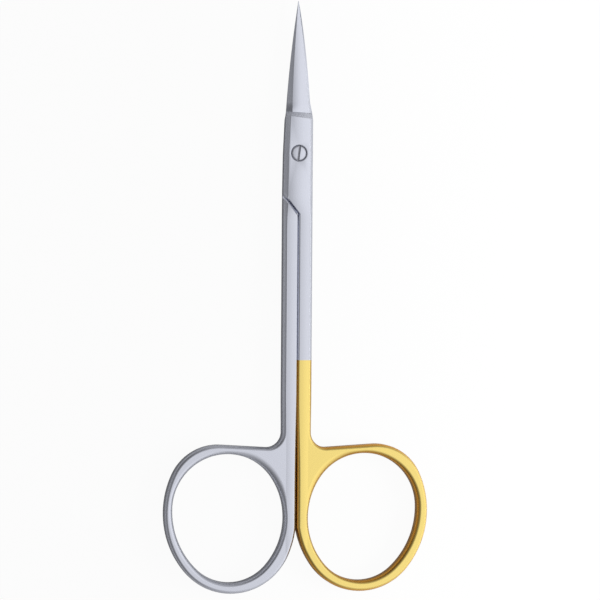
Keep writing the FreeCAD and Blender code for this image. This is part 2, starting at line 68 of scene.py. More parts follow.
# the ring's outline, and the finger hole in it
RING_TOP = (15.35, -66.2)
RING_TOP_RADIUS = 9.75
RING_BOTTOM = (12.5, -73.15)
RING_BOTTOM_RADIUS = 12.03
RING_OUTER_RADIUS = 17.7
RING_INNER_RADIUS = 18.0
PARTING = (SEAM, -72.5)
GOLD_RING_SHIFT = 0.45
CROTCH_RADIUS = 2.9
WEB_SLOPE = radians(3.5)
HOLE_TOP = (13.56, -68.85)
HOLE_TOP_RADIUS = 10.6
HOLE_BOTTOM = (12.81, -73.81)
HOLE_BOTTOM_RADIUS = 9.28
HOLE_OUTER_RADIUS = 15.8
HOLE_INNER_RADIUS = 13.94

# the blade: ways up from the screw, and the curve of its spine, which starts that far below the screw
BLADE_REACH = 29.6
SPINE_START = 7.5
TIP_HALF_WIDTH = 0.06
GRIND_START = 6.95
HEEL = 8.0
EDGE_START = 9.9
HEEL_SLANT = 0.11
SPINE_LENGTH = BLADE_REACH + SPINE_START
SPINE_DROP = HALF_WIDTH - TIP_HALF_WIDTH
SPINE_RADIUS = (SPINE_LENGTH**2 + SPINE_DROP**2) / (2 * SPINE_DROP)


def spine_at(reach):
    """Distance from the pivot's axis to the spine, a way up the blade."""
    along = reach + SPINE_START
    return HALF_WIDTH - (SPINE_RADIUS - sqrt(SPINE_RADIUS**2 - along**2))


print("the spine curves with a radius of", round(SPINE_RADIUS, 1), "mm")

# %% [markdown]
# ## How an edge is described
# Where a solid has a plain bevel of 45 degrees, the real edge was rounded on a belt, each by its own amount:
# the rings almost to a round wire, the shanks to a soft bevel, the joint's ends hardly at all. So every
# point of an outline carries three values: how far the rounding reaches in, how deep it drops, and how round
# it is between a straight bevel (0) and an ellipse (1).

# %% Kinds of edge
Edge = namedtuple("Edge", "reach drop round")
Spot = namedtuple("Spot", "place normal edge")

STONED = Edge(0.02, 0.02, 1.0)
LAP_EDGE = Edge(0.18, 0.22, 0.8)
SIDE = Edge(0.74, 0.75, 0.1)
SHANK_SIDE = Edge(0.6, 0.7, 0.3)
SEAM_EDGE = Edge(0.3, 0.3, 0.3)
RING_EDGE = Edge(0.68, 1.0, 0.85)
HOLE_EDGE = Edge(0.6, 0.95, 0.85)
OUTER_HOLE_EDGE = Edge(0.78, 1.0, 0.85)
WEB_EDGE = Edge(1.3, 1.05, 0.9)


def progress(value, limits):
    """How far a value has come between two limits: 0 at the first and 1 at the second."""
    low, high = limits
    return (value - low) / (high - low)


def blend(first, second, share):
    """An edge part of the way between two others, changing softly."""
    share = min(max(share, 0), 1)
    share = share * share * (3 - 2 * share)
    return Edge(*(a + share * (b - a) for a, b in zip(first, second)))


print("half way from a shank's edge to a ring's:", blend(SHANK_SIDE, RING_EDGE, 0.5))

# %% Runs of an outline
ARC_STEP = radians(3)
SMOOTH_BEND = 0.3


def line(start, end, edge, steps=1):
    """Spots along a straight run; the material lies on the left of the way."""
    across, along = end[0] - start[0], end[1] - start[1]
    normal = (along / hypot(across, along), -across / hypot(across, along))
    spots = []
    for step in range(steps + 1):
        place = (start[0] + across * step / steps, start[1] + along * step / steps)
        spots.append(Spot(place, normal, edge(place) if callable(edge) else edge))
    return spots


def arc(centre, radius, start, end, edge):
    """Spots along an arc; a clockwise one hollows the material out."""
    steps = max(2, ceil(abs(end - start) / ARC_STEP))
    outward = 1 if end > start else -1
    spots = []
    for step in range(steps + 1):
        turn = start + (end - start) * step / steps
        place = (centre[0] + radius * cos(turn), centre[1] + radius * sin(turn))
        normal = (outward * cos(turn), outward * sin(turn))
        spots.append(Spot(place, normal, edge(place) if callable(edge) else edge))
    return spots


def mitre(before, after):
    """The inset at a point where two runs meet: square to both where they turn a corner."""
    (ax, ay), (bx, by) = before.normal, after.normal
    a, b = before.edge.reach, after.edge.reach
    turn = ax * by - ay * bx
    if abs(turn) < SMOOTH_BEND:
        return ((ax + bx) / 2 * (a + b) / 2, (ay + by) / 2 * (a + b) / 2)
    return ((a * by - b * ay) / turn, (b * ax - a * bx) / turn)


def loop(runs):
    """A closed outline: a list of (place, inset, drop, round)."""
    outline = []
    for before, run in zip([runs[-1]] + runs[:-1], runs):
        last, first = before[-1], run[0]
        ruling = max(last.edge, first.edge, key=lambda edge: edge.reach)
        outline.append((first.place, mitre(last, first), ruling.drop, ruling.round))
        for spot in run[1:-1]:
            inset = (spot.normal[0] * spot.edge.reach, spot.normal[1] * spot.edge.reach)
            outline.append((spot.place, inset, spot.edge.drop, spot.edge.round))
    return outline


print("a quarter of a circle takes", len(arc((0, 0), 1, 0, pi / 2, STONED)), "spots")

# %% [markdown]
# ## The outline of a half
# A ring drawn with compasses looks better than one drawn through many points, because each arc flows into
# the next. The helper finds the large arc that encloses two smaller ones, as the ring's outer side does.

# %% Arcs that touch
def enclosing_centre(first, first_radius, second, second_radius, radius, side):
    """Centre of the larger circle that touches two circles from outside them, on the -X or +X side."""
    span = hypot(second[0] - first[0], second[1] - first[1])
    to_first = radius - first_radius
    to_second = radius - second_radius
    along = (to_first**2 - to_second**2 + span**2) / (2 * span)
    away = sqrt(to_first**2 - along**2)
    unit = ((second[0] - first[0]) / span, (second[1] - first[1]) / span)
    normal = (unit[1], -unit[0])
    sign = side if normal[0] > 0 else -side
    return (
        first[0] + unit[0] * along + sign * normal[0] * away,
        first[1] + unit[1] * along + sign * normal[1] * away,
    )


def direction(centre, point):
    """Angle of the way from one point to another, from 0 to a full turn."""
    return atan2(point[1] - centre[1], point[0] - centre[0]) % tau


outer_centre = enclosing_centre(
    RING_TOP, RING_TOP_RADIUS, RING_BOTTOM, RING_BOTTOM_RADIUS, RING_OUTER_RADIUS, -1)
print("the ring's outer arc turns round", [round(number, 2) for number in outer_centre])

# %% [markdown]
# ## Seam, ring and web
# The rounding changes softly along the outline, as the belt's pressure does. It is fine along the seam and
# the shank and grows into the ring's own. The finger hole is rounded most at the web, where ring and shank
# meet and the metal is widest.

# %% How wide each edge is
# ways down from the screw, over which one edge changes into another
SEAM_WIDENS = (46, 66)
BEVEL_NARROWS = (9, 14)
BEVEL_ROUNDS = (47, 55)
# ways across, for the finger hole, and ways from its middle towards the web
HOLE_WIDENS = (9, 15)
WEB_NEARS = (11, 15)


def seam_edge(place):
    """The seam's edge is fine along the shank and widens to the ring's own rounding."""
    return blend(SEAM_EDGE, RING_EDGE, progress(-place[1], SEAM_WIDENS))


def side_edge(place):
    """The joint's outer bevel, narrower along the shank, and the ring's rounding from the crotch on."""
    bevel = blend(SIDE, SHANK_SIDE, progress(-place[1], BEVEL_NARROWS))
    return blend(bevel, RING_EDGE, progress(-place[1], BEVEL_ROUNDS))


def hole_edge(place):
    """The hole's rounding: narrow where the two rings touch, wider away from there, widest at the web."""
    towards_web = HOLE_TOP[0] - place[0] + place[1] - HOLE_TOP[1]
    edge = blend(HOLE_EDGE, OUTER_HOLE_EDGE, progress(place[0], HOLE_WIDENS))
    return blend(edge, WEB_EDGE, progress(towards_web, WEB_NEARS))


print("edge of the shank 30 mm below the screw:", side_edge((HALF_WIDTH, -30)))

# %% Ring and web
WEB_STEPS = 6
SIDE_STEPS = 24


def handle_runs(shift):
    """From where the rings part, round the ring and up the shank's side to the crotch."""
    top = (RING_TOP[0] + shift, RING_TOP[1])
    bottom = (RING_BOTTOM[0] + shift, RING_BOTTOM[1])
    outer = enclosing_centre(top, RING_TOP_RADIUS, bottom, RING_BOTTOM_RADIUS, RING_OUTER_RADIUS, -1)
    inner = enclosing_centre(PARTING, 0, bottom, RING_BOTTOM_RADIUS, RING_INNER_RADIUS, 1)
    leaving = direction(inner, PARTING)
    inner_end = direction(inner, bottom)
    outer_low = direction(outer, bottom) - tau
    outer_high = direction(outer, top)
    normal = (-sin(WEB_SLOPE), cos(WEB_SLOPE))
    web_end = (top[0] + RING_TOP_RADIUS * normal[0], top[1] + RING_TOP_RADIUS * normal[1])
    crotch_x = HALF_WIDTH + CROTCH_RADIUS
    crotch_y = web_end[1] + (CROTCH_RADIUS - (crotch_x - web_end[0]) * normal[0]) / normal[1]
    web_start = (crotch_x - CROTCH_RADIUS * normal[0], crotch_y - CROTCH_RADIUS * normal[1])
    return [
        arc(inner, RING_INNER_RADIUS, leaving, inner_end, RING_EDGE),
        arc(bottom, RING_BOTTOM_RADIUS, inner_end - tau, outer_low, RING_EDGE),
        arc(outer, RING_OUTER_RADIUS, outer_low, outer_high, RING_EDGE),
        arc(top, RING_TOP_RADIUS, outer_high, pi / 2 + WEB_SLOPE, RING_EDGE),
        line(web_end, web_start, side_edge, WEB_STEPS),
        arc((crotch_x, crotch_y), CROTCH_RADIUS, 3 * pi / 2 + WEB_SLOPE, pi, side_edge),
        line((HALF_WIDTH, crotch_y), SHOULDER, side_edge, SIDE_STEPS),
    ]


def hole_runs():
    """The finger hole, clockwise, because the material lies round it."""
    outer = enclosing_centre(
        HOLE_TOP, HOLE_TOP_RADIUS, HOLE_BOTTOM, HOLE_BOTTOM_RADIUS, HOLE_OUTER_RADIUS, -1)
    inner = enclosing_centre(
        HOLE_TOP, HOLE_TOP_RADIUS, HOLE_BOTTOM, HOLE_BOTTOM_RADIUS, HOLE_INNER_RADIUS, 1)
    inner_high = direction(inner, HOLE_TOP)
    inner_low = direction(inner, HOLE_BOTTOM)
    outer_low = direction(outer, HOLE_BOTTOM) - tau
    outer_high = direction(outer, HOLE_TOP)
    return [
        arc(HOLE_TOP, HOLE_TOP_RADIUS, inner_high, outer_high, hole_edge),
        arc(outer, HOLE_OUTER_RADIUS, outer_high, outer_low, hole_edge),
        arc(HOLE_BOTTOM, HOLE_BOTTOM_RADIUS, outer_low, inner_low - tau, hole_edge),
        arc(inner, HOLE_INNER_RADIUS, inner_low, inner_high, hole_edge),
    ]


print("the finger hole takes", sum(len(run) for run in hole_runs()), "spots")

# %% Shank, joint and lap
JOINT_STEPS = 4
SEAM_STEPS = 40


def joint_runs(flush):
    """From the shoulder up the side of the joint, across its end, down the spine and the seam."""
    low = -SPINE_START
    left = spine_at(GRIND_START + HEEL_SLANT * HALF_WIDTH)
    left_end = (-left, GRIND_START + HEEL_SLANT * left)
    centre = (SPINE_RADIUS - HALF_WIDTH, low)
    if flush:
        right = spine_at(GRIND_START - HEEL_SLANT * HALF_WIDTH)
        right_end = (right, GRIND_START - HEEL_SLANT * right)
        turned = (HALF_WIDTH - SPINE_RADIUS, low)
        rise = atan2(right_end[1] - low, right_end[0] - turned[0])
        side = [line(SHOULDER, (HALF_WIDTH, low), SIDE), arc(turned, SPINE_RADIUS, 0, rise, SIDE)]
    else:
        right_end = (HALF_WIDTH, GRIND_START - HEEL_SLANT * HALF_WIDTH)
        side = [line(SHOULDER, right_end, SIDE, JOINT_STEPS)]
    fall = atan2(left_end[1] - low, left_end[0] - centre[0])
    return side + [
        line(right_end, left_end, STONED),
        arc(centre, SPINE_RADIUS, fall, pi, SIDE),
        line((-HALF_WIDTH, low), LAP_CORNER, SIDE),
        line(LAP_CORNER, LAP_FOOT, LAP_EDGE),
        line(LAP_FOOT, SHOULDER_FOOT, SEAM_EDGE),
    ]


def seam_run():
    """The long straight seam, down to where the two rings part."""
    return line(SHOULDER_FOOT, PARTING, seam_edge, SEAM_STEPS)


print("the upper joint takes", sum(len(run) for run in joint_runs(False)), "spots")

# %% [markdown]
# ## The screw's seat
# The screw head lies in a round pocket of the upper half, and a narrower hole goes on through it. A turned
# shape is a profile swept round an axis, so one small function makes the seat here and the screw later.

# %% A turned surface
TURN_STEPS = 64
SEAT = ((1.72, 3.2), (1.62, 3.16), (1.55, 3.05), (1.55, 2.2), (1.03, 2.2), (1.03, INNER_FACE))
THREAD_HOLE = ((1.1, 3.2), (1.02, 3.12), (1.02, INNER_FACE))


def turned_surface(profile):
    """Points and faces of a profile of (radius, height) pairs turned round the pivot's axis."""
    points = []
    faces = []
    for step in range(TURN_STEPS):
        turn = tau * step / TURN_STEPS
        points += [(radius * cos(turn), radius * sin(turn), height) for radius, height in profile]
    size = len(profile)
    for step in range(TURN_STEPS):
        here, there = step * size, (step + 1) % TURN_STEPS * size
        faces += [(here + k, there + k, there + k + 1, here + k + 1) for k in range(size - 1)]
    return points, faces


print("the seat has", len(turned_surface(SEAT)[1]), "faces")

# %% [markdown]
# ## The wires that a half is made from
# Geometry Nodes will turn outlines into a body. They arrive as one mesh of wires, in which the attribute
# "part" tells the top side (0), the underside (1), the flat inner face of the lap (2) and the bore (3) apart.

# %% Collect wires
TOP, UNDERSIDE, LAP, BORED = range(4)


def linked(name, data):
    """A new object in the scene for a mesh, a lamp or a camera."""
    made = bpy.data.objects.new(name, data)
    bpy.context.scene.collection.objects.link(made)
    return made


class Wires:
    """Points with their values, and the wires and faces between them."""

    def __init__(self):
        self.points, self.wires, self.faces = [], [], []
        self.insets, self.drops, self.rounds, self.parts = [], [], [], []

    def add(self, outline, part):
        """Add one closed outline."""
        first = len(self.points)
        for index, (place, inset, drop, rounding) in enumerate(outline):
            self.points.append((*place, 0))
            self.insets.append((*inset, 0))
            self.drops.append(drop)
            self.rounds.append(rounding)
            self.parts.append(part)
            self.wires.append((first + index, first + (index + 1) % len(outline)))

    def add_surface(self, points, faces):
        """Add finished faces."""
        first = len(self.points)
        self.points += points
        self.faces += [tuple(first + index for index in face) for face in faces]
        for values, empty in ((self.insets, (0, 0, 0)), (self.drops, 0), (self.rounds, 0)):
            values += [empty] * len(points)
        self.parts += [BORED] * len(points)

    def to_object(self, name):
        """One mesh object with the values as attributes of its points."""
        mesh = bpy.data.meshes.new(name)
        mesh.from_pydata(self.points, self.wires, self.faces)
        inset = mesh.attributes.new("inset", "FLOAT_VECTOR", "POINT")
        inset.data.foreach_set("vector", [number for vector in self.insets for number in vector])
        for title, values in (("drop", self.drops), ("round", self.rounds)):
            mesh.attributes.new(title, "FLOAT", "POINT").data.foreach_set("value", values)
        mesh.attributes.new("part", "INT", "POINT").data.foreach_set("value", self.parts)
        return linked(name, mesh)


print("parts of a half:", {"top": TOP, "underside": UNDERSIDE, "lap": LAP, "bored": BORED})

# %% The wires of a half
def circle(radius):
    """A circle round the pivot's axis, whose points lie on those of a turned surface."""
    return [
        ((radius * cos(tau * step / TURN_STEPS), radius * sin(tau * step / TURN_STEPS)), (0, 0), 0, 0)
        for step in range(TURN_STEPS)
    ]


def half_wires(name, shift, flush, bore):
    """All wires of one half, as the upper one lies."""
    wires = Wires()
    handle = handle_runs(shift)
    joint = joint_runs(flush)
    shoulder = [line(SHOULDER, SHOULDER_FOOT, STONED)]
    hole = loop(hole_runs())
    wires.add(loop(handle + joint + [seam_run()]), TOP)
    wires.add(hole, TOP)
    wires.add(circle(bore[0][0]), TOP)
    wires.add(loop(handle + shoulder + [seam_run()]), UNDERSIDE)
    wires.add(hole, UNDERSIDE)
    wires.add(loop(joint + [line(SHOULDER_FOOT, SHOULDER, STONED)]), LAP)
    wires.add(circle(bore[-1][0]), LAP)
    wires.add_surface(*turned_surface(bore))
    print(name, "has", len(wires.points), "points in its wires")
    return wires.to_object(f"{name}_wires")


print("a circle has", len(circle(1)), "points")

# %% [markdown]
# ## A shorthand for node trees
# A tree of fifty nodes is hard to read as fifty calls with sockets and links. The small class below wraps a
# socket, so that a sum in Python becomes Math nodes, and one method makes any other node.

# %% Sockets that can be added and multiplied
class Socket:
    """A node's socket that can be used in sums."""

    def __init__(self, tree, socket):
        self.tree = tree
        self.socket = socket

    def math(self, operation, *values):
        """A Math node on any values."""
        return self.tree.node("ShaderNodeMath", {"operation": operation}, *values)

    def other(self, name):
        """Another output of the same node."""
        return Socket(self.tree, self.socket.node.outputs[name])

    def __add__(self, other):
        return self.math("ADD", self, other)

    def __sub__(self, other):
        return self.math("SUBTRACT", self, other)

    def __rsub__(self, other):
        return self.math("SUBTRACT", other, self)

    def __mul__(self, other):
        return self.math("MULTIPLY", self, other)

    __radd__ = __add__
    __rmul__ = __mul__


class Tree:
    """Builds a node tree, one call for each node."""

    def __init__(self, nodes):
        self.nodes = nodes

    def node(self, kind, settings=None, *values, output=0, **links):
        """Make a node: its type, its settings, and the values or links of its sockets."""
        made = self.nodes.nodes.new(kind)
        for name, value in (settings or {}).items():
            setattr(made, name, value)
        for index, value in enumerate(values):
            self.fill(made.inputs[index], value)
        for name, value in links.items():
            self.fill(made.inputs[name.replace("_", " ")], value)
        return Socket(self, made.outputs[output]) if made.outputs else None

    def fill(self, target, value):
        """Link a socket to another one, or give it a plain value."""
        if isinstance(value, Socket):
            self.nodes.links.new(value.socket, target)
        elif value is not None:
            target.default_value = value

    def named(self, name, kind="FLOAT"):
        """An attribute of the points, by its name."""
        return self.node("GeometryNodeInputNamedAttribute", {"data_type": kind}, name)

    def store(self, mesh, name, value, kind="FLOAT", where=None):
        """The mesh with a value written to its points."""
        return self.node(
            "GeometryNodeStoreNamedAttribute", {"data_type": kind, "domain": "POINT"},
            mesh, where, name, value)

    def vector(self, x=0.0, y=0.0, z=0.0):
        """A vector from three values."""
        return self.node("ShaderNodeCombineXYZ", None, x, y, z)

    def scaled(self, vector, factor):
        """A vector times a value."""
        return self.node("ShaderNodeVectorMath", {"operation": "SCALE"}, vector, Scale=factor)

    def sum(self, first, second):
        """Two vectors added."""
        return self.node("ShaderNodeVectorMath", {"operation": "ADD"}, first, second)


print("a socket overloads", [name for name in vars(Socket) if name in ("__add__", "__sub__", "__mul__")])

# %% [markdown]
# ## The tree that forges a half
# The flat top of a half is its outline drawn in by the inset. From the flat's rim the tree extrudes rows of
# narrow faces, each row a little further out and lower, and last the wall down to the inner face. Sine and
# cosine steps give an ellipse, even steps a bevel, and each point mixes the two by its own value. A Bevel
# modifier would give every edge the same width, which is what makes a model look stamped and not polished.
#
# On the way the tree stores "edge", which grows from 0 on the flat to 1 at the wall, and to half as much
# where the edge faces right, towards the light. It is a mask of painted shade, and the plating's colour reads
# it later.

# %% Soft shell of one side
RIM_STEPS = 9
# the share of the inset by which the flat is drawn in further, so that its rim stays flat
SUPPORT = 0.06
# how far right the inset must point for the "edge" mask of painted shade to be weakened fully, and by how
# much, towards the light
LIT_INSET = 0.6
LIT_LOSS = 0.5
NO_DROP = 0.001
# whole numbers that differ by less than this are the same
SAME = 0.1


def extruded(tree, mesh, rim):
    """The mesh with new faces along the chosen edges, not moved yet, and the new edges."""
    longer = tree.node(
        "GeometryNodeExtrudeMesh", {"mode": "EDGES"}, mesh, rim, Offset_Scale=0.0)
    return longer, longer.other("Top")


def soft_shell(tree, wire, flat, inner, sense):
    """Flat face, its soft rim and the wall to the inner face; sense is -1 on top and 1 below."""
    inset = tree.named("inset", "FLOAT_VECTOR")
    laid = tree.node("GeometryNodeSetPosition", None, wire, Offset=tree.scaled(inset, -1 - SUPPORT))
    curve = tree.node("GeometryNodeMeshToCurve", None, laid)
    mesh = tree.node("GeometryNodeFillCurve", {"mode": "TRIANGLES"}, curve)
    nearest = tree.node("GeometryNodeSampleNearest", {"domain": "POINT"}, laid)
    for name, kind in (("inset", "FLOAT_VECTOR"), ("drop", "FLOAT"), ("round", "FLOAT")):
        carried = tree.node(
            "GeometryNodeSampleIndex", {"data_type": kind, "domain": "POINT"},
            laid, tree.named(name, kind), nearest)
        mesh = tree.store(mesh, name, carried, kind)
    mesh = tree.store(mesh, "edge", 0.0)
    mesh = tree.node("GeometryNodeSetPosition", None, mesh, Offset=tree.vector(z=flat))
    drop = tree.named("drop")
    rounding = tree.named("round")
    # the mask of painted shade is weaker where the inset points right, towards the light
    right = tree.node("ShaderNodeSeparateXYZ", None, inset)
    within = right.math("MAXIMUM", 0.0, right.math("MINIMUM", LIT_INSET, right))
    painted_shade_depth = 1 - LIT_LOSS * within.math("DIVIDE", within, LIT_INSET)
    neighbours = tree.node("GeometryNodeInputMeshEdgeNeighbors")
    rim = neighbours.math("COMPARE", neighbours, 1.0, SAME) * drop.math("GREATER_THAN", drop, NO_DROP)
    out, down = -SUPPORT, 0.0
    for step in range(RIM_STEPS + 1):
        share = step / RIM_STEPS
        wide, deep = sin(share * pi / 2), 1 - cos(share * pi / 2)
        mesh, rim = extruded(tree, mesh, rim)
        even_out = share - (share - 1 / RIM_STEPS if step else -SUPPORT)
        even_down = 1 / RIM_STEPS if step else 0.0
        outward = even_out + rounding * (wide - out - even_out)
        lower = even_down + rounding * (deep - down - even_down)
        move = tree.sum(tree.scaled(inset, outward), tree.vector(z=drop * lower * sense))
        mesh = tree.node("GeometryNodeSetPosition", None, mesh, rim, Offset=move)
        # the "edge" mask for the plating's painted shade
        mesh = tree.store(mesh, "edge", share * painted_shade_depth, where=rim)
        out, down = wide, deep
    mesh, rim = extruded(tree, mesh, rim)
    height = tree.node("ShaderNodeSeparateXYZ", None, tree.node("GeometryNodeInputPosition"), output="Z")
    return tree.node("GeometryNodeSetPosition", None, mesh, rim, Offset=tree.vector(z=inner - height))


print("a rim is", RIM_STEPS, "rows of faces deep")

# %% [markdown]
# ## Join the sides into one half
# The top shell, the underside's shell, the flat face of the lap and the screw's bore share their borders, so
# merging the points that lie together closes the body. A half that is turned over goes round the long axis
# and back up by the thickness.

# %% The forging's tree
MERGE = 0.001
CRISP_BEND = radians(50)


def part_of(tree, wires, part):
    """The wires or faces of one part."""
    number = tree.named("part", "INT")
    chosen = number.math("COMPARE", number, float(part), SAME)
    return tree.node("GeometryNodeSeparateGeometry", {"domain": "POINT"}, wires, chosen)


def forging_tree():
    """The node group that turns the wires of a half into its body."""
    nodes = bpy.data.node_groups.new("soft_forging", "GeometryNodeTree")
    inputs = [("Wires", "NodeSocketGeometry"), ("Thickness", "NodeSocketFloat"),
              ("Inner face", "NodeSocketFloat"), ("Turned over", "NodeSocketFloat"),
              ("Metal", "NodeSocketMaterial")]
    for name, kind in inputs:
        nodes.interface.new_socket(name=name, in_out="INPUT", socket_type=kind)
    nodes.interface.new_socket(name="Body", in_out="OUTPUT", socket_type="NodeSocketGeometry")
    tree = Tree(nodes)
    wires = tree.node("NodeGroupInput")
    thickness, inner = wires.other("Thickness"), wires.other("Inner face")
    over = wires.other("Turned over")

    top = soft_shell(tree, part_of(tree, wires, TOP), thickness, inner, -1.0)
    below = tree.node(
        "GeometryNodeFlipFaces", None, soft_shell(tree, part_of(tree, wires, UNDERSIDE), 0.0, inner, 1.0))
    lap_curve = tree.node("GeometryNodeMeshToCurve", None, part_of(tree, wires, LAP))
    lap = tree.node("GeometryNodeFlipFaces", None, tree.node(
        "GeometryNodeFillCurve", {"mode": "TRIANGLES"}, lap_curve))
    lap = tree.node("GeometryNodeSetPosition", None, lap, Offset=tree.vector(z=inner))

    joined = tree.node("GeometryNodeJoinGeometry")
    for piece in (part_of(tree, wires, BORED), lap, below, top):
        tree.fill(joined.socket.node.inputs[0], piece)
    whole = tree.node("GeometryNodeMergeByDistance", None, joined, Distance=MERGE)
    turned = tree.node(
        "GeometryNodeTransform", None, whole,
        Translation=tree.vector(z=over * thickness * MM),
        Rotation=tree.vector(y=over * pi), Scale=(MM, MM, MM))
    smooth = tree.node("GeometryNodeSetShadeSmooth", {"domain": "FACE"}, turned)
    bend = tree.node("GeometryNodeInputMeshEdgeAngle")
    crisp = tree.node(
        "GeometryNodeSetShadeSmooth", {"domain": "EDGE"}, smooth,
        bend.math("GREATER_THAN", bend, CRISP_BEND), Shade_Smooth=False)
    real = tree.node("GeometryNodeRealizeInstances", None, crisp)
    finished = tree.node("GeometryNodeSetMaterial", None, real, Material=wires.other("Metal"))
    tree.node("NodeGroupOutput", None, finished)
    return nodes


forging = forging_tree()
print("the forging's tree has", len(forging.nodes), "nodes")

# %% [markdown]
# ## From tree to mesh
# A modifier runs the tree on the wires. What comes out is copied to a plain mesh, and the wires go with
# their modifier, because a finished piece is a mesh that stands alone. Its faces are then turned outwards,
# and its volume and its open edges show at once whether it is closed.

# %% Run a tree and keep its mesh
def grown(source, nodes, name, **inputs):
    """Run a node group on an object and return the result as a plain object."""
    modifier = source.modifiers.new(nodes.name, "NODES")
    modifier.node_group = nodes
    sockets = {item.name: item.identifier for item in nodes.interface.items_tree if item.in_out == "INPUT"}
    for title, value in inputs.items():
        modifier[sockets[title.replace("_", " ")]] = value
    seen = source.evaluated_get(bpy.context.evaluated_depsgraph_get())
    mesh = bpy.data.meshes.new_from_object(seen)
    mesh.name = name
    bpy.data.objects.remove(source)
    return linked(name, mesh)


def settle(piece):
    """Turn the faces of a closed mesh outwards, and say what it holds."""
    work = bmesh.new()
    work.from_mesh(piece.data)
    bmesh.ops.recalc_face_normals(work, faces=work.faces)
    open_edges = sum(1 for edge in work.edges if not edge.is_manifold)
    volume = work.calc_volume(signed=True) / MM**3
    work.to_mesh(piece.data)
    work.free()
    print(piece.name, len(piece.data.polygons), "faces,", open_edges, "open edges,", round(volume, 1), "mm3")


print("inputs of a forging:", [item.name for item in forging.interface.items_tree if item.in_out == "INPUT"])

# %% [markdown]
# ## Ground blades
# A blade is a row of sections that shrink towards the point, and each corner of a section follows its own
# simple rule. The grinder leaves crisp edges here, so the faces meet at sharp lines. The inner face is
# hollow, deepest near the spine, so that closed blades meet only along their edges. The sections are joined
# in Python, because each has only seven corners and each corner has a meaning.

# %% Sections of a blade
EDGE_BEVEL = 0.12
SPINE_BEVEL = 0.22
HOLLOW_PLACE = 0.24
RELIEF = 0.02
LAND = 0.06
START_HOLLOW = 0.02
# heights above the inner face, at the heel and at the point
HOLLOW = (0.15, 0.05)
EDGE_LINE = (0.36, 0.14)
SPINE_LINE = (0.85, 0.24)
SPINE_WALL = (0.38, 0.12)


def blade_section(share, spine, edge):
    """Corners of a section as (across, height) pairs, from the spine round to the edge and back."""
    def between(heel, tip):
        return heel + share * (tip - heel)

    width = edge + spine
    inner = INNER_FACE + RELIEF
    return [
        (-spine, inner),
        (-spine + HOLLOW_PLACE * width, inner + between(*HOLLOW)),
        (edge, inner),
        (edge, inner + LAND),
        (edge - EDGE_BEVEL * width, inner + between(*EDGE_LINE)),
        (-spine + SPINE_BEVEL * width, inner + between(*SPINE_LINE)),
        (-spine, inner + between(*SPINE_WALL)),
    ]


def start_section(flush, relief):
    """Section where the grind leaves the joint's face, a little inside the joint's own surface."""
    spine = spine_at(GRIND_START) - relief
    edge = (spine_at(GRIND_START) if flush else HALF_WIDTH) - relief
    inner = INNER_FACE + relief
    top = THICKNESS - relief
    low = top - SIDE.drop
    return [
        (-spine, inner), (-spine + HOLLOW_PLACE * (spine + edge), inner + START_HOLLOW), (edge, inner),
        (edge, low), (edge - SIDE.reach, top), (-spine + SIDE.reach, top), (-spine, low),
    ]


print("a blade has", len(blade_section(0, 1, 1)), "corners in each section")

# %% One blade
BLADE_ROWS = 14
# how far behind the start of the grind a row lies, and how far inside the joint's surface
ROOT_ROWS = ((0.6, 0.1), (0.0, RELIEF))
HEEL_TURN = 0.3
EDGE_CORNER = 2.42
EDGE_SETBACK = 0.22
SPINE_LEAD = 0.18
LEAD_FADE = 4
TIP_EDGE = 0.05


def blade_rows(flush):
    """Each row of a blade: how far up it lies, how slanted it is, and its corners."""
    rows = [(GRIND_START - back, 1.0, start_section(flush, relief)) for back, relief in ROOT_ROWS]
    heel_edge = (spine_at(HEEL) if flush else HALF_WIDTH) - RELIEF
    rows.append((HEEL, HEEL_TURN, blade_section(0, spine_at(HEEL), heel_edge)))
    edge_start = EDGE_CORNER - (EDGE_SETBACK if flush else 0)
    for row in range(BLADE_ROWS):
        share = row / (BLADE_ROWS - 1)
        reach = EDGE_START + share * (BLADE_REACH - EDGE_START)
        lead = SPINE_LEAD * (1 - share**LEAD_FADE) if flush else 0
        edge = edge_start + share * (TIP_EDGE - edge_start)
        rows.append((reach, 0.0, blade_section(share, spine_at(reach) + lead, edge)))
    return rows


def blade(name, flush):
    """Closed mesh of a blade, from inside the joint to the point."""
    rows = blade_rows(flush)
    points = []
    for reach, slant, corners in rows:
        points += [(x * MM, (reach - slant * HEEL_SLANT * x) * MM, z * MM) for x, z in corners]
    size = len(rows[0][2])
    faces = [tuple(range(size)), tuple(reversed(range(len(points) - size, len(points))))]
    for here in range(0, size * (len(rows) - 1), size):
        for k in range(size):
            following = (k + 1) % size
            faces.append((here + k, here + size + k, here + size + following, here + following))
    if flush:
        points = [(-x, y, THICKNESS * MM - z) for x, y, z in points]
    mesh = bpy.data.meshes.new(name)
    mesh.from_pydata(points, [], faces)
    made = linked(name, mesh)
    settle(made)
    mesh.shade_flat()
    return made


print("a blade has", len(blade_rows(False)), "rows from the joint to the point")

# %% [markdown]
# ## Steel and gold
# Brushed metal is a smooth metal with fine parallel scratches. Noise stretched along the brush's way gives
# them: along the length on blades and shanks, round the hole on the rings. The scratches change the
# roughness a little and tilt the surface a little. A wide, shallow crown goes into the same Bump node,
# because a belt never leaves a face quite flat.
#
# The plating's gold is bright on the flat. On the rounded edge a painted shade mixes it to a deeper, darker
# gold, most of all on the side away from the light, and the "edge" value that the tree stored says where that
# is.

# %% Colours, masks and grain
STEEL = (0.67, 0.69, 0.775, 1)
# the screw's colour below its head's face, darker than the steel
DARKER_BELOW_FACE = (0.45, 0.46, 0.51, 1)
GOLD = (0.98, 0.77, 0.25, 1)
# painted shade: the darker gold that rounded edges are mixed towards, most on the side away from the light
PAINTED_SHADE_GOLD = (0.64, 0.32, 0.05, 1)
ROUGHNESS = 0.27
GRAIN_ROUGHNESS = 0.08
GRAIN_DETAIL = 3.0
# the Mix node's sockets for colours, by number, because its sockets for values have the same names
MIX_FACTOR, MIX_FIRST, MIX_SECOND, MIX_RESULT = 0, 6, 7, 2


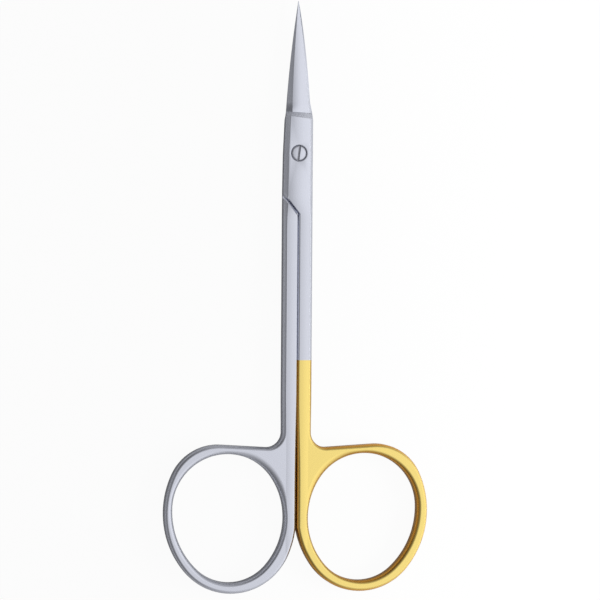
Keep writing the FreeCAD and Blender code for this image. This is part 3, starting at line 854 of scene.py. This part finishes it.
def mixed(tree, factor, first, second):
    """A colour between two others."""
    mix = tree.node("ShaderNodeMix", {"data_type": "RGBA"}, output=MIX_RESULT)
    for index, value in ((MIX_FACTOR, factor), (MIX_FIRST, first), (MIX_SECOND, second)):
        tree.fill(mix.socket.node.inputs[index], value)
    return mix


def ramp(tree, value, low, high):
    """0 below one value, 1 above another, and a soft change between."""
    return tree.node(
        "ShaderNodeMapRange", {"interpolation_type": "SMOOTHSTEP"}, value, low, high, 0.0, 1.0)


def stretched_noise(tree, x, y, z):
    """Noise that is as fine along each way as the value given for it runs fast."""
    return tree.node("ShaderNodeTexNoise", None, Vector=tree.vector(x, y, z), Scale=1.0, Detail=GRAIN_DETAIL)


def empty_material(name):
    """A material with no nodes yet, and the tree that fills it."""
    material = bpy.data.materials.new(name)
    material.use_nodes = True
    material.node_tree.nodes.clear()
    return material, Tree(material.node_tree)


def place_in_mm(tree):
    """The place on the object in millimetres, as x, with y and z among its node's other outputs."""
    place = tree.scaled(tree.node("ShaderNodeTexCoord", output="Object"), 1 / MM)
    return tree.node("ShaderNodeSeparateXYZ", None, place)


def metal_surface(tree, colour, roughness, height):
    """The last nodes of each metal: its bump, its shader and the output."""
    bump = tree.node("ShaderNodeBump", None, 1.0, MM, Height=height)
    shader = tree.node(
        "ShaderNodeBsdfPrincipled", None, Base_Color=colour, Metallic=1.0, Roughness=roughness, Normal=bump)
    tree.node("ShaderNodeOutputMaterial", None, shader)


print("steel", STEEL[:3], "and gold", GOLD[:3], "with a roughness about", ROUGHNESS)

# %% How the faces are crowned
JOINT_STARTS = (-13.0, -8.0)
BLADE_STARTS = (7.0, 10.0)
SHANK_CROWN_WIDTH = 0.95
JOINT_EXTRA_WIDTH = 1.15
BLADE_EXTRA_WIDTH = 0.8
SHANK_MIDDLE = 1.2
BLADE_MIDDLE = 0.8
CROWN = 0.05
BLADE_CROWN = 0.04


def crown_height(x, y, side):
    """How far the face falls from its highest line: across the shank, the joint and the blade."""
    at_joint = ramp(x.tree, y, *JOINT_STARTS)
    on_blade = ramp(x.tree, y, *BLADE_STARTS)
    half_width = SHANK_CROWN_WIDTH + JOINT_EXTRA_WIDTH * at_joint + BLADE_EXTRA_WIDTH * on_blade
    from_middle = x - side * SHANK_MIDDLE * (1 - at_joint) - BLADE_MIDDLE * on_blade
    near = from_middle.math("MINIMUM", half_width, from_middle.math("ABSOLUTE", from_middle))
    return near * near * (CROWN + BLADE_CROWN * on_blade)


print("a shank's crown falls by", round(CROWN * SHANK_CROWN_WIDTH**2, 3), "mm at its side")

# %% Brushed metal
PLATING_TOP = -40.1
RING_MIDDLE = (13.2, -70.8)
RING_STARTS = (-61.0, -56.0)
# scratches for each millimetre: across the brush's way, along it, and down a side
ACROSS = 3
ALONG = 0.03
DOWN = 0.8
# depth of the scratches, and how much less deep they are on the rings
SCRATCH = 0.0022
LESS_ON_RING = 0.001
# the "edge" value at which the painted shade on the gold is full
FULL_PAINTED_SHADE_AT = 0.5


def brushed(name, side, plated=False):
    """Brushed metal for the half whose ring lies at +X (side 1) or -X (side -1)."""
    material, tree = empty_material(name)
    x = place_in_mm(tree)
    y, z = x.other("Y"), x.other("Z")
    out, up = x - side * RING_MIDDLE[0], y - RING_MIDDLE[1]
    radius = tree.node("ShaderNodeVectorMath", {"operation": "LENGTH"}, tree.vector(out, up), output="Value")
    turn = up.math("ARCTAN2", up, out)
    on_ring = 1 - ramp(tree, y, *RING_STARTS)
    along = stretched_noise(tree, x * ACROSS, y * ALONG, z * DOWN)
    round_ring = stretched_noise(tree, radius * ACROSS, turn, z * DOWN)
    grain = along + on_ring * (round_ring - along)
    height = grain * (SCRATCH - LESS_ON_RING * on_ring) - crown_height(x, y, side)
    colour = STEEL
    if plated:
        # painted shade: the gold is mixed darker by the "edge" mask
        edge = tree.node("ShaderNodeAttribute", {"attribute_name": "edge"}, output="Fac")
        gold = mixed(tree, ramp(tree, edge, 0.0, FULL_PAINTED_SHADE_AT), GOLD, PAINTED_SHADE_GOLD)
        colour = mixed(tree, y.math("LESS_THAN", y, PLATING_TOP), STEEL, gold)
    metal_surface(tree, colour, ROUGHNESS + GRAIN_ROUGHNESS * (grain - 0.5), height)
    print(name, "has", len(material.node_tree.nodes), "nodes")
    return material


gilt_steel = brushed("gilt_steel", 1, True)
brushed_steel = brushed("brushed_steel", -1)

# %% [markdown]
# ## Put the halves together
# Each half is forged by the tree, gets its blade, and takes the place of its plain solid. The lower half is
# the same forging turned over, so it needs no drawing of its own. Only the side of its heel differs: it is
# ground flush with the upper half's spine.

# %% Two halves
def half(node, name, shift, flush, bore, metal, body):
    """One finished half in the place of its solid."""
    wires = half_wires(name, shift, flush, bore)
    piece = grown(
        wires, forging, name, Thickness=THICKNESS, Inner_face=INNER_FACE, Turned_over=1.0 if flush else 0.0,
        Metal=metal)
    settle(piece)
    ground = blade(f"{name}_blade", flush)
    ground.data.materials.append(metal)
    with bpy.context.temp_override(
            active_object=piece, object=piece, selected_editable_objects=[piece, ground],
            selected_objects=[piece, ground]):
        bpy.ops.object.join()
    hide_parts(node)
    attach(piece, body)


half(
    "gold_ring_half", "gilt_half_finish", GOLD_RING_SHIFT, False, SEAT, gilt_steel, "upper_half")
half(
    "steel_ring_half", "steel_half_finish", 0.0, True, THREAD_HOLE, brushed_steel, "lower_half")

# %% [markdown]
# ## The pivot screw
# The head was filed flush with the joint and keeps a broken edge, which shows as a fine ring. A closed
# turned body and a bar that is cut out of it give the slot, as a slitting saw does. The face of the head is
# brushed together with the joint, while its broken edge and its slot stay dull, because a belt doesn't reach
# into them. Below the head's face the colour is also mixed darker.

# %% The screw's steel
SCREW_ACROSS = 7
SCREW_ALONG = 0.3
SCREW_SCRATCH = 0.0025
DULL_BELOW = 3.08
POLISHED_ABOVE = 3.19
DULL_ROUGHNESS = 0.5


def turned_steel():
    """Steel that is polished on the head's face, and dull and coloured darker below it."""
    material, tree = empty_material("turned_steel")
    x = place_in_mm(tree)
    y, z = x.other("Y"), x.other("Z")
    grain = stretched_noise(tree, x * SCREW_ACROSS, y * SCREW_ALONG, z * SCREW_ACROSS)
    polished = ramp(tree, z, DULL_BELOW, POLISHED_ABOVE)
    roughness = DULL_ROUGHNESS - (DULL_ROUGHNESS - ROUGHNESS) * polished + GRAIN_ROUGHNESS * (grain - 0.5)
    # below the head's face the colour is mixed darker
    metal_surface(tree, mixed(tree, polished, DARKER_BELOW_FACE, STEEL), roughness, grain * SCREW_SCRATCH)
    print("turned_steel has", len(material.node_tree.nodes), "nodes")
    return material


screw_steel = turned_steel()

# %% Turn the screw and saw its slot
# its profile in (radius, height) pairs, from the filed end up to the head's face
SCREW = ((0.0, 0.0), (0.85, 0.0), (1.0, 0.15), (1.0, 2.25), (1.5, 2.25), (1.5, 2.96), (1.44, 3.05),
         (1.3, 3.13), (1.12, 3.18), (0.0, 3.2))
SLOT_WIDTH = 0.45
SLOT_DEPTH = 0.5
SLOT_TURN = radians(-7)
SAW_LENGTH = 5
SCREW_CREASE = radians(30)


def screw_blank():
    """The turned screw, closed at both ends."""
    points, faces = turned_surface(SCREW)
    mesh = bpy.data.meshes.new("screw_blank")
    mesh.from_pydata(points, [], faces)
    work = bmesh.new()
    work.from_mesh(mesh)
    bmesh.ops.remove_doubles(work, verts=work.verts, dist=MERGE)
    bmesh.ops.recalc_face_normals(work, faces=work.faces)
    work.to_mesh(mesh)
    work.free()
    return linked("screw_blank", mesh)


def saw_blade():
    """A bar as wide as the slot, half of it below the head's face."""
    work = bmesh.new()
    bmesh.ops.create_cube(work, size=1)
    bmesh.ops.scale(work, vec=(SLOT_WIDTH, SAW_LENGTH, 2 * SLOT_DEPTH), verts=work.verts)
    bmesh.ops.rotate(work, matrix=Matrix.Rotation(SLOT_TURN, 3, "Z"), verts=work.verts)
    bmesh.ops.translate(work, vec=(0, 0, THICKNESS), verts=work.verts)
    mesh = bpy.data.meshes.new("saw")
    work.to_mesh(mesh)
    work.free()
    return linked("saw", mesh)


def screw():
    """The screw as one closed mesh with its slot, in the place of its solid."""
    blank, saw = screw_blank(), saw_blade()
    cut = blank.modifiers.new("slot", "BOOLEAN")
    cut.object = saw
    cut.solver = "EXACT"
    seen = blank.evaluated_get(bpy.context.evaluated_depsgraph_get())
    mesh = bpy.data.meshes.new_from_object(seen)
    mesh.name = "pivot_screw_finish"
    mesh.transform(Matrix.Scale(MM, 4))
    mesh.materials.clear()
    mesh.materials.append(screw_steel)
    mesh.shade_smooth()
    mesh.set_sharp_from_angle(angle=SCREW_CREASE)
    piece = linked("pivot_screw_finish", mesh)
    bpy.data.objects.remove(blank)
    bpy.data.objects.remove(saw)
    settle(piece)
    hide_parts("pivot_screw")
    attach(piece, "lower_half")


screw()

# %% [markdown]
# ## The white table
# The table is white paper to the camera: its own glow keeps it from turning grey, and it still takes the
# object's shadow. Polished metal mirrors what stands round it, so the paper's colour carries painted shade:
# for the metal's sides it is dim on the left and bright on the right, as it is under a tent whose light comes
# from the right.

# %% White table
TABLE_SIZE = 6
TABLE_DROP = 0.00002
GLOW_SHARE = 0.955
MIRRORED_GLOW = 0.05
# painted shade: the paper's colour on the left, as the metal sees it
PAINTED_SHADE_PAPER = (0.36, 0.36, 0.36, 1)
BRIGHT_PAPER = (0.9, 0.9, 0.9, 1)
PAINTED_SHADE_FADES = (-0.03, 0.06)
WHITE = (1, 1, 1, 1)


def paper():
    """White to the camera; for the metal the paper's colour carries painted shade, dim on the left and bright
    on the right.
    """
    material, tree = empty_material("white_paper")
    path = tree.node("ShaderNodeLightPath", output="Is Camera Ray")
    seen = path + MIRRORED_GLOW * (path.other("Is Glossy Ray") + path.other("Is Transmission Ray"))
    x = tree.node("ShaderNodeSeparateXYZ", None, tree.node("ShaderNodeTexCoord", output="Object"))
    # painted shade: the paper's colour is ramped from dim on the left to bright on the right
    painted_shade_tone = mixed(tree, ramp(tree, x, *PAINTED_SHADE_FADES), PAINTED_SHADE_PAPER, BRIGHT_PAPER)
    paint = tree.node("ShaderNodeBsdfPrincipled", None, Base_Color=painted_shade_tone, Roughness=1.0)
    glow = tree.node("ShaderNodeEmission", None, WHITE, 1.0)
    both = tree.node("ShaderNodeMixShader", None, seen * GLOW_SHARE, paint, glow)
    tree.node("ShaderNodeOutputMaterial", None, both)
    return material


bpy.ops.mesh.primitive_plane_add(size=TABLE_SIZE, location=(0, 0, -TABLE_DROP))
table = bpy.context.object
table.name = "table_top"
table.data.materials.append(paper())
print("the table is", TABLE_SIZE, "m wide")

# %% [markdown]
# ## The light tent
# The picture looks as if it was taken in a tent of white cloth. Flat steel mirrors the cloth above it, and
# the bevels on the left mirror it further to the left, where it is darker, which is what draws them. Soft
# ramps over the sky give the tent: from left to right, and a darker far and near end. A strip low on the left
# is lighter again.

# %% Sky of the light tent
LEFT_LEVEL = 0.22
RIGHT_GAIN = 0.84
RISE = (-0.75, 0.5)
LOW_LEFT_GAIN = 0.14
LOW_LEFT = (0.85, 1.0)
FAR_LOSS = 0.5
FAR_END = (0.2, 0.75)
NEAR_LEVEL = 0.7
NEAR_END = (-0.9, -0.3)
world = bpy.data.worlds.new("light_tent")
bpy.context.scene.world = world
world.use_nodes = True
world.node_tree.nodes.clear()
sky = Tree(world.node_tree)
path = sky.node("ShaderNodeLightPath", output="Is Camera Ray")
way = sky.node("ShaderNodeSeparateXYZ", None, sky.node("ShaderNodeTexCoord", output="Generated"))
along = way.other("Y")
from_left = LEFT_LEVEL + RIGHT_GAIN * ramp(sky, way, *RISE) + LOW_LEFT_GAIN * ramp(sky, 0 - way, *LOW_LEFT)
far_end = 1 - FAR_LOSS * ramp(sky, along, *FAR_END)
near_end = NEAR_LEVEL + (1 - NEAR_LEVEL) * ramp(sky, along, *NEAR_END)
# mirrors see the whole tent, matt surfaces a little less of it
mirrored = path.other("Is Glossy Ray") + path.other("Is Transmission Ray")
tent = from_left * far_end * near_end * (1 - MIRRORED_GLOW + MIRRORED_GLOW * mirrored)
background = sky.node("ShaderNodeBackground", None, WHITE, path + (1 - path) * tent)
sky.node("ShaderNodeOutputWorld", None, background)
print("the sky is", LEFT_LEVEL, "on the left and", round(LEFT_LEVEL + RIGHT_GAIN, 2), "on the right")

# %% [markdown]
# ## The lamp
# One soft box stands low on the right. It throws the shadow to the left of each wall, so the walls mirror
# dark paper there. The metal doesn't mirror the box itself, because the photograph shows no such highlight.

# %% Soft box
BOX_SIZE = 0.3
BOX_WATTS = 5
BOX_PLACE = (0.5, -0.12, 0.2)
BOX_AIM = (0, -0.03, 0)
box = bpy.data.lights.new("soft_box", "AREA")
box.shape = "SQUARE"
box.size = BOX_SIZE
box.energy = BOX_WATTS
lamp = linked("soft_box", box)
lamp.location = BOX_PLACE
lamp.rotation_mode = "QUATERNION"
lamp.rotation_quaternion = (Vector(BOX_PLACE) - Vector(BOX_AIM)).to_track_quat("Z", "Y")
lamp.visible_glossy = False
print("soft box of", BOX_WATTS, "W,", round(Vector(BOX_PLACE).length, 2), "m away")

# %% [markdown]
# ## The camera
# The photograph shows the left walls and hides the right ones, so the camera leans to the left, about the
# long axis. It is near enough for a little perspective, and turned by less than half a degree.

# %% Camera
LEAN = radians(11.5)
ROLL = radians(0.38)
DISTANCE = 0.4
FOCAL_PIXELS = 2057.6
IMAGE_PIXELS = 600
SENSOR = 36
TARGET = (0.68, -28.446, 1.6)
back = Vector((-sin(LEAN), 0, cos(LEAN)))
right = Vector((cos(LEAN), 0, sin(LEAN)))
up = back.cross(right)
rolled_right = cos(ROLL) * right + sin(ROLL) * up
rolled_up = -sin(ROLL) * right + cos(ROLL) * up
camera_data = bpy.data.cameras.new("camera")
camera_data.sensor_width = SENSOR
camera_data.lens = FOCAL_PIXELS * SENSOR / IMAGE_PIXELS
camera = linked("camera", camera_data)
axes = Matrix((rolled_right, rolled_up, back)).transposed()
camera.matrix_world = Matrix.Translation(Vector(TARGET) * MM + DISTANCE * back) @ axes.to_4x4()
bpy.context.scene.camera = camera
bpy.context.scene.view_settings.view_transform = "Standard"
print("camera", round(camera_data.lens, 1), "mm lens,", DISTANCE, "m away")

# %% [markdown]
# ## Finish
# The finished pieces have to stay inside the solids' box.

# %% Finish
bpy.context.view_layer.update()
